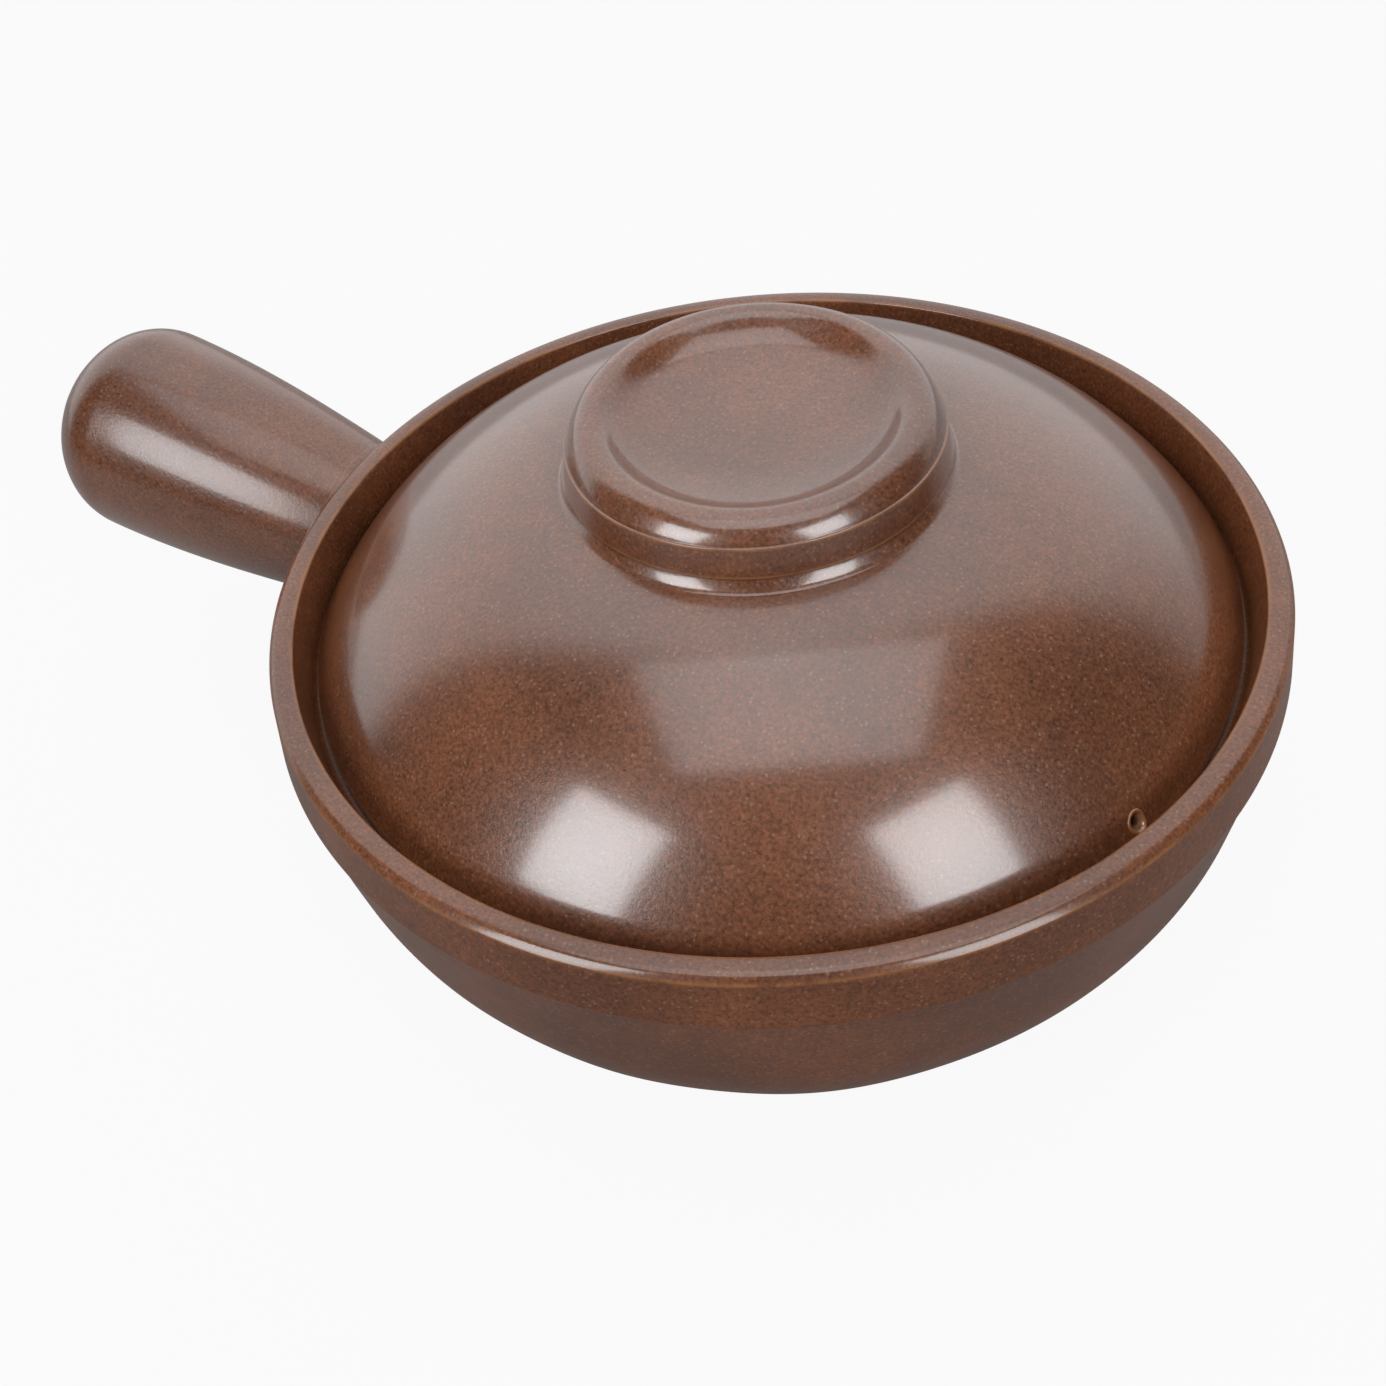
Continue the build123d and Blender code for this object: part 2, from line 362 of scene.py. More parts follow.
def dome_curve(lid):
    """Radius of the dome's section."""
    run = lid.radius - lid.crown_radius
    return (run**2 + lid.rise**2) / (2 * lid.rise)


def dome_height(lid, radius):
    """Height of the dome's outside at a radius."""
    crown = lid_low.z + lid.edge + lid.rise
    if radius <= lid.crown_radius:
        return crown
    curve = dome_curve(lid)
    return crown - curve + sqrt(curve**2 - (radius - lid.crown_radius) ** 2)


def lid_outline(sizes):
    """The lid's section, from the middle of its hollow round the edge to the crown, with its bare mask."""
    curve = dome_curve(sizes)
    bottom, crown = lid_low.z, dome_height(sizes, 0)
    centre = (sizes.crown_radius, crown - curve)
    edge_angle = pi / 2 - atan((sizes.radius - sizes.crown_radius) / (curve - sizes.rise))
    under = curve - sizes.wall
    inside = sizes.crown_radius + sqrt(under**2 - (bottom - centre[1]) ** 2)
    under_angle = atan((bottom - centre[1]) / (inside - sizes.crown_radius))
    corners = [
        (0, crown - sizes.wall, 0),
        *arc_points(centre, under, pi / 2, under_angle, 60)[:-1],
        (inside, bottom, 0.5 * MM),
        (sizes.radius, bottom, 0.4 * MM),
        (sizes.radius, bottom + sizes.edge, 0.4 * MM),
        *arc_points(centre, curve, edge_angle, pi / 2, 90)[1:],
        (0, crown, 0),
    ]
    points = fill_in(round_off(corners))
    bare = [1.0 if p.y < bottom + 0.3 * MM and p.x > inside - MM else 0.0 for p in points]
    return points, bare


# Slopes of the knob's ring from its band to the middle of its dish, and of the hollow under the band
KNOB_RING = (
    (3.8 * MM, 72, 52),
    (3.6 * MM, 52, 0),
    (2.7 * MM, 0, -40),
    (1.2 * MM, -40, -43),
    (4.4 * MM, -43, -17),
    (12.0 * MM, -17, -4),
    (10.5 * MM, -4, 0),
)
KNOB_COVE = ((2.0 * MM, 62, 48), (1.5 * MM, 48, 8))


def knob_outline(lid, sizes):
    """The knob's section, from its cove over the band and the ring to its dish, and the band's top."""
    band_bottom = dome_height(lid, 0) + sizes.lift
    band_top = band_bottom + sizes.band
    top_radius = sizes.radius - sizes.draft
    cove = swept((sizes.radius - sizes.shoulder, -band_bottom), KNOB_COVE)
    cove = [(2 * (sizes.radius - sizes.shoulder) - p.x, -p.y, 0) for p in reversed(cove)]
    ring = swept((top_radius - sizes.shoulder, band_top), KNOB_RING)
    corners = [
        *cove[:-1],
        (*cove[-1][:2], 0.12 * MM),
        (sizes.radius, band_bottom, 0.16 * MM),
        (top_radius, band_top, 0.16 * MM),
        (*ring[0], 0.12 * MM),
        *((p.x, p.y, 0) for p in ring[1:] if p.x > MM),
        (0, ring[-1].y, 0),
    ]
    return fill_in(round_off(corners), 0.18 * MM), band_top


# Places on the pieces


def steam_hole(lid):
    """The middle of the steam hole's mouth, the dome's own way out there, and the hole's way out."""
    place = lid.radius - lid.vent_inset
    sideways = Vector((cos(lid.vent_turn), sin(lid.vent_turn), 0))
    mouth = sideways * place + Vector((0, 0, dome_height(lid, place)))
    slope = (place - lid.crown_radius) / dome_curve(lid)
    normal = sideways * slope + Vector((0, 0, sqrt(1 - slope**2)))
    outward = sideways * cos(lid.vent_tilt) + Vector((0, 0, sin(lid.vent_tilt)))
    return mouth, normal, outward


def handle_axis(handle, bowl):
    """The handle's root on the wall, and its own directions: along, up and sideways."""
    wall_radius, wall_top, lean = wall_line(bowl)
    root = wall_radius - (wall_top - handle.height) * lean
    along = Vector((-cos(handle.tilt), 0, sin(handle.tilt)))
    upward = Vector((sin(handle.tilt), 0, cos(handle.tilt)))
    return Vector((-root, 0, handle.height)), along, upward, Vector((0, 1, 0))


def off_axis(axis, distance, turn, radius):
    """A point at a distance from the wall and a radius from the handle's axis, turned from its top."""
    root, along, upward, sideways = axis
    out = upward * cos(turn) + sideways * sin(turn)
    return root + along * distance + out * radius


def handle_radius(handle, distance):
    """Radius of the handle at a distance from the wall, short of its rounded end."""
    run = handle.length - handle.end_depth
    t = clamped(distance / run)
    slope = handle.root_slope_share * (handle.end_radius - handle.root_radius)
    return (
        handle.root_radius * (2 * t**3 - 3 * t**2 + 1)
        + slope * (t**3 - 2 * t**2 + t)
        + handle.end_radius * (3 * t**2 - 2 * t**3)
    )


def firing_vent(handle, bowl):
    """The middle of the firing vent's mouth, under the handle, and the way up through it."""
    root, along, upward, _ = handle_axis(handle, bowl)
    radius = handle_radius(handle, handle.vent_place)
    return root + along * handle.vent_place - upward * radius, upward


def wall_profile(bowl):
    """Gives the radius of the bowl's outer wall at a height."""
    points = bowl_outline(bowl)[0]
    top = max(range(len(points)), key=lambda i: points[i].y)
    outer = points[: top + 1]

    def radius_at(height):
        for low, high in zip(outer, outer[1:]):
            if low.y <= height <= high.y and high.y > low.y:
                return low.x + (high.x - low.x) * (height - low.y) / (high.y - low.y)
        return outer[-1].x

    return radius_at


def meet_wall(point_at, radius_at, sink, low, high):
    """Distance at which a line that runs out of the bowl leaves its wall, less a little."""
    for _ in range(40):
        middle = (low + high) / 2
        point = point_at(middle)
        if hypot(point.x, point.y) < radius_at(point.z) - sink:
            low = middle
        else:
            high = middle
    return (low + high) / 2


# Meshes

# Waves of a hand turned wall: how many go round, their turn for each metre up, their start and their part
WAVES = (
    (3, 21, 0.4, 0.34),
    (5, -34, 1.9, 0.27),
    (8, 55, 2.7, 0.17),
    (13, 76, 0.9, 0.13),
    (17, -118, 4.1, 0.09),
)


def uneven(turn, height, amount):
    """How far a hand turned surface strays here from a true round."""
    return amount * sum(part * sin(n * turn + k * height + start) for n, k, start, part in WAVES)


def linked(name, data):
    """A new object in the scene."""
    piece = bpy.data.objects.new(name, data)
    bpy.context.scene.collection.objects.link(piece)
    return piece


def shaped(name, form):
    """A new object in the scene, with a form as its mesh."""
    mesh = bpy.data.meshes.new(name)
    form.to_mesh(mesh)
    form.free()
    return linked(name, mesh)


def facing(place, way):
    """The matrix that puts an object at a place with its Z along a way."""
    return Matrix.Translation(place) @ way.to_track_quat("Z", "Y").to_matrix().to_4x4()


def skin(name, rows, columns, place, masks, smallest=1e-7):
    """Mesh of closed rings. place(row, turn) gives each point, and a mask gives a value for each row.

    A ring under the smallest size is one point, and closes the mesh there.
    """
    form = bmesh.new()
    layers = {mask: form.verts.layers.float.new(mask) for mask in masks}
    rings = []
    for row in range(rows):
        closed = (place(row, pi) - place(row, 0.0)).length < smallest
        turns = [0.0] if closed else [2 * pi * column / columns for column in range(columns)]
        ring = []
        for turn in turns:
            vert = form.verts.new(place(row, turn))
            for mask, layer in layers.items():
                vert[layer] = masks[mask][row]
            ring.append(vert)
        rings.append(ring)
    for one, other in zip(rings, rings[1:]):
        if len(one) == len(other) == 1:
            continue
        for column in range(columns):
            after = (column + 1) % columns
            if len(one) == 1:
                corners = (one[0], other[after], other[column])
            elif len(other) == 1:
                corners = (one[column], one[after], other[0])
            else:
                corners = (one[column], one[after], other[after], other[column])
            form.faces.new(corners).smooth = True
    bmesh.ops.recalc_face_normals(form, faces=form.faces)
    return shaped(name, form)


def turned(name, outline, columns, masks, unevenness, lift=None):
    """A piece turned round the pot's axis. unevenness(row, turn) moves each point out, and lift up."""

    def place(row, turn):
        radius, height = outline[row]
        if radius > MM:
            radius += unevenness(row, turn)
        if lift:
            height += lift(row, turn)
        return Vector((radius * cos(turn), radius * sin(turn), height))

    return skin(name, len(outline), columns, place, masks)


def bored(piece, start, direction, radius, length):
    """Cuts a round hole through a piece."""
    form = bmesh.new()
    bmesh.ops.create_cone(form, segments=32, radius1=radius, radius2=radius, depth=length, cap_ends=True)
    cutter = shaped("bore", form)
    cutter.matrix_world = facing(start, direction)
    cut = piece.modifiers.new("bore", "BOOLEAN")
    cut.operation = "DIFFERENCE"
    cut.solver = "EXACT"
    cut.object = cutter
    bpy.context.view_layer.update()
    holed = piece.evaluated_get(bpy.context.evaluated_depsgraph_get())
    mesh = bpy.data.meshes.new_from_object(holed)
    piece.modifiers.clear()
    piece.data = mesh
    bpy.data.objects.remove(cutter)


# Shader nodes


def put(tree, kind, inputs=None, **settings):
    """Adds a node. Inputs are values, or sockets to link."""
    node = tree.nodes.new(kind)
    for name, value in settings.items():
        setattr(node, name, value)
    for key, value in (inputs or {}).items():
        if isinstance(value, bpy.types.NodeSocket):
            tree.links.new(value, node.inputs[key])
        else:
            node.inputs[key].default_value = value
    return node


def calc(tree, operation, one, other=0.0):
    """A Math node's result."""
    return put(tree, "ShaderNodeMath", {0: one, 1: other}, operation=operation).outputs[0]


def times(tree, one, other, clamp=False):
    """The product of two values."""
    return put(tree, "ShaderNodeMath", {0: one, 1: other}, operation="MULTIPLY", use_clamp=clamp).outputs[0]


def scaled(tree, value, factor, plus, clamp=False):
    """A value times a factor, plus another value."""
    inputs = {0: value, 1: factor, 2: plus}
    return put(tree, "ShaderNodeMath", inputs, operation="MULTIPLY_ADD", use_clamp=clamp).outputs[0]


def between(tree, value, low, high, to_low=0.0, to_high=1.0):
    """A value's smooth way from one limit to the other."""
    node = put(
        tree,
        "ShaderNodeMapRange",
        {"Value": value, "From Min": low, "From Max": high, "To Min": to_low, "To Max": to_high},
        interpolation_type="SMOOTHSTEP",
    )
    return node.outputs["Result"]


def blend(tree, factor, one, other):
    """Mixes two numbers."""
    return put(tree, "ShaderNodeMix", {0: factor, 2: one, 3: other}).outputs[0]


def blend_colours(tree, factor, one, other, way="MIX"):
    """Mixes two colours."""
    inputs = {0: factor, 6: one, 7: other}
    return put(tree, "ShaderNodeMix", inputs, data_type="RGBA", blend_type=way).outputs[2]


def noise(tree, place, scale, detail, roughness):
    """A noise texture's value."""
    inputs = {"Vector": place, "Scale": scale, "Detail": detail, "Roughness": roughness}
    return put(tree, "ShaderNodeTexNoise", inputs).outputs[0]


def specks(tree, place, scale, kept, radius):
    """Mask of small round specks: the share of cells that have one, and its radius as a share of a cell."""
    cells = put(tree, "ShaderNodeTexVoronoi", {"Vector": place, "Scale": scale})
    shade = put(tree, "ShaderNodeSeparateColor", {"Color": cells.outputs["Color"]}).outputs[0]
    chosen = calc(tree, "LESS_THAN", shade, kept)
    return times(tree, chosen, between(tree, cells.outputs["Distance"], radius, radius / 2))


def mask_of(tree, name):
    """A mask that the piece's mesh carries."""
    return put(tree, "ShaderNodeAttribute", attribute_name=name).outputs["Fac"]


def emptied(owner):
    """The empty node tree of a material or a world."""
    owner.use_nodes = True
    owner.node_tree.nodes.clear()
    return owner.node_tree


def solid(value):
    """A colour with full alpha."""
    return (*value, 1.0)


def finish_group(name, colours, values):
    """A node group with its sockets: it takes a place, colours and values, and gives a finish."""
    tree = bpy.data.node_groups.new(name, "ShaderNodeTree")
    add = tree.interface.new_socket
    add(name="Place", in_out="INPUT", socket_type="NodeSocketVector")
    for label in colours:
        add(name=label, in_out="INPUT", socket_type="NodeSocketColor")
    for label in values:
        add(name=label, in_out="INPUT", socket_type="NodeSocketFloat")
    add(name="Color", in_out="OUTPUT", socket_type="NodeSocketColor")
    add(name="Roughness", in_out="OUTPUT", socket_type="NodeSocketFloat")
    add(name="Height", in_out="OUTPUT", socket_type="NodeSocketFloat")
    return tree, tree.nodes.new("NodeGroupInput").outputs, tree.nodes.new("NodeGroupOutput").inputs


def glaze_group():
    """Speckled brown glaze that runs thin over edges and pools in hollows, and takes deep glaze as painted
    shade where the mask says so.
    """
    colours = ("Glaze", "Deep Glaze", "Thin Glaze", "Speck")
    tree, given, result = finish_group("Speckled glaze", colours, ("Thin", "Pooled and shade", "Dullness"))
    place = given["Place"]
    clouds = noise(tree, place, scale=26.0, detail=3.0, roughness=0.55)
    mottle = noise(tree, place, scale=240.0, detail=4.0, roughness=0.6)
    grain = noise(tree, place, scale=1500.0, detail=2.5, roughness=0.7)
    peel = noise(tree, place, scale=620.0, detail=1.5, roughness=0.5)
    broken = noise(tree, place, scale=95.0, detail=3.0, roughness=0.6)
    pale = specks(tree, place, scale=820.0, kept=0.1, radius=0.24)
    tiny = specks(tree, place, scale=1150.0, kept=0.25, radius=0.38)
    dark = specks(tree, place, scale=430.0, kept=0.12, radius=0.26)

    body = blend_colours(tree, between(tree, clouds, 0.36, 0.68), given["Glaze"], given["Deep Glaze"])
    light = times(tree, scaled(tree, mottle, 0.5, 0.76), scaled(tree, grain, 2.4, -0.2))
    grey = put(tree, "ShaderNodeCombineColor", {0: light, 1: light, 2: light}).outputs[0]
    body = blend_colours(tree, 1.0, body, grey, "MULTIPLY")
    for mask, strength, tint in (
        (pale, 0.4, given["Speck"]),
        (tiny, 0.32, given["Speck"]),
        (dark, 0.6, given["Deep Glaze"]),
    ):
        body = blend_colours(tree, times(tree, mask, strength), body, tint)
    thin = times(tree, given["Thin"], between(tree, broken, 0.3, 0.6, 0.25, 1.0))
    thin = times(tree, thin, scaled(tree, grain, 0.6, 0.7), clamp=True)
    body = blend_colours(tree, thin, body, given["Thin Glaze"])
    # Deep glaze where the glaze pools, and as painted shade where the mask carries it, as under the bowl's
    # band
    body = blend_colours(tree, times(tree, given["Pooled and shade"], 0.55), body, given["Deep Glaze"])
    tree.links.new(body, result["Color"])

    rough = calc(tree, "ADD", given["Dullness"], scaled(tree, grain, 0.24, -0.12))
    tree.links.new(scaled(tree, thin, 0.12, rough, clamp=True), result["Roughness"])

    height = peel
    for bumps, amount in ((grain, 2.0), (pale, 0.45), (dark, -0.3)):
        height = scaled(tree, bumps, amount, height)
    tree.links.new(height, result["Height"])
    return tree


def clay_group():
    """Bare fired clay with grog, and with turning marks 1.5 mm apart that stray from true rings."""
    tree, given, result = finish_group("Bare clay", ("Clay", "Toasted"), ())
    place = given["Place"]
    clouds = noise(tree, place, scale=38.0, detail=4.0, roughness=0.6)
    grog = noise(tree, place, scale=900.0, detail=3.0, roughness=0.65)
    grains = specks(tree, place, scale=620.0, kept=0.2, radius=0.4)
    parts = put(tree, "ShaderNodeSeparateXYZ", {0: place}).outputs
    squares = [calc(tree, "POWER", parts[i], 2.0) for i in (0, 1)]
    reach = calc(tree, "SQRT", calc(tree, "ADD", *squares))
    rings = calc(tree, "SINE", times(tree, scaled(tree, clouds, 0.004, reach), 4200.0))
    tone = blend_colours(tree, between(tree, clouds, 0.35, 0.7), given["Clay"], given["Toasted"])
    tone = blend_colours(tree, times(tree, grog, 0.4), tone, given["Toasted"])
    dark_grain = (0.09, 0.05, 0.03, 1)
    tone = blend_colours(tree, times(tree, grains, 0.45), tone, dark_grain)
    tree.links.new(tone, result["Color"])
    tree.links.new(scaled(tree, grog, 0.2, 0.7), result["Roughness"])
    height = scaled(tree, rings, 0.25, grog)
    tree.links.new(scaled(tree, grains, 0.5, height), result["Height"])
    return tree


# Depth of the orange peel and the grain in the glaze
PEEL_DEPTH = 0.028 * MM
# Coat that is left where the gloss is gone, and how far above and below that line it changes
DULL_COAT = 0.05
DULL_FADE = 0.5 * MM


def glazed(name, finish, dullness, shine=GLOSSY, with_clay=False, dull_below=None, tones=None):
    """A glaze material, with bare clay where the piece's mask says so.

    The glaze has lost most of its coat under the height dull_below. tones gives it other colours.
    """
    material = bpy.data.materials.new(name)
    tree = emptied(material)
    place = put(tree, "ShaderNodeTexCoord").outputs["Object"]
    colours = {
        "Glaze": finish.glaze,
        "Deep Glaze": finish.glaze_deep,
        "Thin Glaze": finish.glaze_thin,
        "Speck": finish.speck,
        **(tones or {}),
    }
    inputs = {label: solid(colour) for label, colour in colours.items()}
    inputs |= {"Place": place, "Thin": mask_of(tree, "thin"), "Pooled and shade": mask_of(tree, "pooled_and_shade")}
    inputs["Dullness"] = dullness
    group = bpy.data.node_groups.get("Speckled glaze") or glaze_group()
    glaze = put(tree, "ShaderNodeGroup", inputs, node_tree=group).outputs
    tint, rough, height = glaze["Color"], glaze["Roughness"], glaze["Height"]
    coat = shine.coat
    if dull_below:
        up = put(tree, "ShaderNodeSeparateXYZ", {0: place}).outputs[2]
        coat = between(tree, up, dull_below - DULL_FADE, dull_below + DULL_FADE, DULL_COAT, coat)
    if with_clay:
        inputs = {"Place": place, "Clay": solid(finish.clay), "Toasted": solid(finish.clay_toasted)}
        group = bpy.data.node_groups.get("Bare clay") or clay_group()
        clay = put(tree, "ShaderNodeGroup", inputs, node_tree=group).outputs
        stray = noise(tree, place, scale=160.0, detail=3.0, roughness=0.55)
        bare = between(tree, scaled(tree, stray, 0.5, mask_of(tree, "bare")), 0.72, 0.78)
        tint = blend_colours(tree, bare, tint, clay["Color"])
        rough = blend(tree, bare, rough, clay["Roughness"])
        height = blend(tree, bare, height, clay["Height"])
        coat = blend(tree, bare, coat, 0.0)
    bump = put(tree, "ShaderNodeBump", {"Height": height, "Strength": 1.0, "Distance": PEEL_DEPTH})
    surface = put(
        tree,
        "ShaderNodeBsdfPrincipled",
        {
            "Base Color": tint,
            "Roughness": rough,
            "Normal": bump.outputs["Normal"],
            "IOR": 1.9,
            "Specular IOR Level": shine.specular,
            "Coat Weight": coat,
            "Coat Roughness": 0.14,
            "Coat IOR": shine.coat_ior,
        },
    )
    put(tree, "ShaderNodeOutputMaterial", {"Surface": surface.outputs["BSDF"]})
    return material


# Pieces


def finished(piece, material, body, slot, *nodes):
    """Gives a piece its material and its body, and hides the packed solids that it stands for."""
    piece.data.materials.clear()
    piece.data.materials.append(material)
    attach(piece, body)
    if nodes:
        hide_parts(*nodes)


# Section of a vent's wiped edge and lining, as radius and height in shares of the hole's radius
VENT_EDGE = (
    (1.02, -2.6),
    (1.02, -0.1),
    (1.24, 0.02),
    (1.18, 0.12),
    (1.04, 0.15),
    (0.88, 0.06),
    (0.76, -0.2),
    (0.68, -0.5),
    (0.58, -0.62),
    (0.54, -0.8),
    (0.54, -2.6),
    (1.02, -2.6),
)


def vent_edge(name, mouth, normal, radius, finish, body, slot):
    """The ring of thin tan glaze round a vent, with the lining that narrows inside it."""
    across = normal.orthogonal().normalized()
    beside = normal.cross(across)
    outline = [Vector(point) * radius for point in VENT_EDGE]

    def place(row, turn):
        reach = outline[row].x * (1 + 0.05 * sin(2 * turn + 0.6) + 0.03 * sin(3 * turn + 2.0))
        return mouth + (across * cos(turn) + beside * sin(turn)) * reach + normal * outline[row].y

    thin = [clamped(1.15 + height) for _, height in VENT_EDGE]
    masks = {"thin": thin, "pooled_and_shade": [0.0] * len(outline)}
    piece = skin(name, len(outline), 48, place, masks)
    tones = {"Glaze": finish.clay_toasted, "Deep Glaze": finish.glaze_thin}
    finished(piece, glazed(name + "_glaze", finish, 0.34, tones=tones), body, slot)


# Operators


class CLAYPOT_OT_bowl(Operator):
    """Turn the bowl and glaze it, with a bare base and ledge"""

    bl_idname = "claypot.bowl"
    bl_label = "Bowl"

    def execute(self, context):
        sizes, finish = context.scene.claypot_bowl, context.scene.claypot_finish
        band_foot_height = sizes.rim_height - sizes.band_height
        points, bare = bowl_outline(sizes)
        thin, pooled_and_shade = glaze_masks(points)
        for row, point in enumerate(points):
            if point.y < band_foot_height + 2 * MM:
                thin[row] *= 0.3
            if point.x > sizes.rim_radius - MM:
                thin[row] = max(thin[row], 0.7 * line_round(point.y, sizes.rim_height, 0.3 * MM))
                # Painted shade: a dark line of deep glaze at the band's foot, standing in for the shadow of
                # the step under the band
                pooled_and_shade[row] = max(pooled_and_shade[row], line_round(point.y, band_foot_height, 0.5 * MM))
        masks = {"thin": thin, "pooled_and_shade": pooled_and_shade, "bare": bare}

        def stray(row, turn):
            below_band = clamped((band_foot_height - points[row].y) / (12 * MM))
            return uneven(turn, points[row].y, sizes.unevenness * (0.1 + 0.9 * below_band))

        piece = turned("pot_bowl", points, finish.columns, masks, stray)
        glaze = glazed("bowl_glaze", finish, 0.4, SATIN, with_clay=True, dull_below=sizes.rim_height)
        finished(piece, glaze, "pot", "bowl_glaze", "bowl")
        return {"FINISHED"}


class CLAYPOT_OT_handle(Operator):
    """Shape the hollow handle from the wall to its round end, with its firing vent"""

    bl_idname = "claypot.handle"
    bl_label = "Handle"

    def execute(self, context):
        bowl, sizes = context.scene.claypot_bowl, context.scene.claypot_handle
        finish = context.scene.claypot_finish
        axis, radius_at = handle_axis(sizes, bowl), wall_profile(bowl)
        run = sizes.length - sizes.end_depth
        swell_rows, end_rows = 70, 40
        rows = swell_rows + end_rows + 1

        def on_handle(distance, turn):
            radius = handle_radius(sizes, distance)
            if distance > run:
                radius = sizes.end_radius * sqrt(max(0.0, 1 - ((distance - run) / sizes.end_depth) ** 2))
            # The unevenness dies out within 5 mm of the axis, so that the tip closes smoothly
            part = min(1, radius / (5 * MM))
            return off_axis(axis, distance, turn, radius + uneven(turn, distance, 0.07 * MM) * part)

        @cache
        def start(turn):
            nearest, farthest = -14 * MM, 12 * MM
            return meet_wall(lambda d: on_handle(d, turn), radius_at, sizes.sink, nearest, farthest)

        def place(row, turn):
            if row == rows - 1:
                return off_axis(axis, sizes.length, turn, 0.0)
            if row > swell_rows:
                bend = radians(90) * (row - swell_rows) / end_rows
                return on_handle(run + sizes.end_depth * sin(bend), turn)
            return on_handle(start(turn) + (run - start(turn)) * row / swell_rows, turn)

        masks = {"thin": [0.0] * rows, "pooled_and_shade": [0.0] * rows}
        piece = skin("pot_handle", rows, finish.columns // 2, place, masks)
        vent, upward = firing_vent(sizes, bowl)
        bored(piece, vent, upward, sizes.vent_radius, sizes.wall)
        glaze = glazed("handle_glaze", finish, 0.32, WORN)
        finished(piece, glaze, "pot", "handle_glaze", "handle")
        return {"FINISHED"}


class CLAYPOT_OT_collar(Operator):
    """Shape the collar that joins the handle to the wall"""

    bl_idname = "claypot.collar"
    bl_label = "Handle collar"

    def execute(self, context):
        bowl, sizes = context.scene.claypot_bowl, context.scene.claypot_handle
        finish = context.scene.claypot_finish
        axis, radius_at = handle_axis(sizes, bowl), wall_profile(bowl)
        edge_round = sizes.collar_step * 0.6
        flare_rows, edge_rows = 19, 5
        rows = flare_rows + edge_rows + 2

        def on_collar(out_share, turn):
            # The flare is least on top, dies out to the collar's end and goes on growing into the wall
            up_share = max(0.0, cos(turn)) ** 2
            fall = max(0.0, 1 - out_share) ** 2.2 if out_share > 0 else 1 - 0.63 * out_share
            flare = sizes.collar_flare * (1 - up_share) * fall
            distance = sizes.collar_length * out_share
            radius = handle_radius(sizes, distance) + sizes.collar_step + flare
            return off_axis(axis, distance, turn, radius)

        @cache
        def start(turn):
            nearest, farthest = -1.2, 1.0
            return meet_wall(lambda share: on_collar(share, turn), radius_at, sizes.sink, nearest, farthest)

        def place(row, turn):
            if row <= flare_rows:
                return on_collar(start(turn) + (1.0 - start(turn)) * row / flare_rows, turn)
            # The edge turns down, and the last row ends inside the handle
            bend = radians(90) * (row - flare_rows) / edge_rows
            drop = edge_round * (1 - cos(bend)) if row < rows - 1 else sizes.collar_step + 0.3 * MM
            distance = sizes.collar_length + edge_round * sin(min(bend, radians(90)))
            radius = handle_radius(sizes, distance) + sizes.collar_step - drop
            return off_axis(axis, distance, turn, radius)

        thin = [0.0] * flare_rows + [0.35, 0.6, 0.8, 0.6, 0.35, 0.1, 0.0]
        masks = {"thin": thin, "pooled_and_shade": [0.0] * (rows - 1) + [0.8]}
        piece = skin("pot_handle_collar", rows, finish.columns // 2, place, masks)
        glaze = glazed("collar_glaze", finish, 0.32, WORN)
        finished(piece, glaze, "pot", "collar_glaze", "handle_collar")
        return {"FINISHED"}


class CLAYPOT_OT_lid(Operator):
    """Turn the domed lid, glazed but for its seat, and bore the steam hole"""

    bl_idname = "claypot.lid"
    bl_label = "Lid"

    def execute(self, context):
        sizes, finish = context.scene.claypot_lid, context.scene.claypot_finish
        points, bare = lid_outline(sizes)
        thin, pooled_and_shade = glaze_masks(points)
        masks = {"thin": thin, "pooled_and_shade": pooled_and_shade, "bare": bare}

        def stray(row, turn):
            return uneven(turn, points[row].x, sizes.unevenness)

        piece = turned("pot_lid", points, finish.columns, masks, stray)
        mouth, _, outward = steam_hole(sizes)
        bored(piece, mouth, outward, sizes.vent_radius, length=24 * MM)
        finished(piece, glazed("lid_glaze", finish, 0.33, with_clay=True), "lid", "lid_glaze", "lid")
        return {"FINISHED"}


class CLAYPOT_OT_knob(Operator):
    """Turn the ring knob with its side band and dish"""

    bl_idname = "claypot.knob"
    bl_label = "Knob"

    def execute(self, context):
        lid, sizes = context.scene.claypot_lid, context.scene.claypot_knob
        finish = context.scene.claypot_finish
        points, band_top = knob_outline(lid, sizes)
        crown = max(points, key=lambda point: point.y)
        thin, pooled_and_shade = glaze_masks(points)
        masks = {"thin": thin, "pooled_and_shade": pooled_and_shade}

        def stray(row, turn):
            return uneven(turn, points[row].x, 0.04 * MM)

        def lift(row, turn):
            point = points[row]
            leaning = 1.0 if point.x < crown.x else clamped((point.y - band_top) / (crown.y - band_top))
            return sizes.lean * leaning * cos(turn - sizes.lean_turn) * point.x / sizes.radius

        piece = turned("lid_knob", points, finish.columns, masks, stray, lift)
        finished(piece, glazed("knob_glaze", finish, 0.33), "lid", "knob_glaze", "knob")
        return {"FINISHED"}


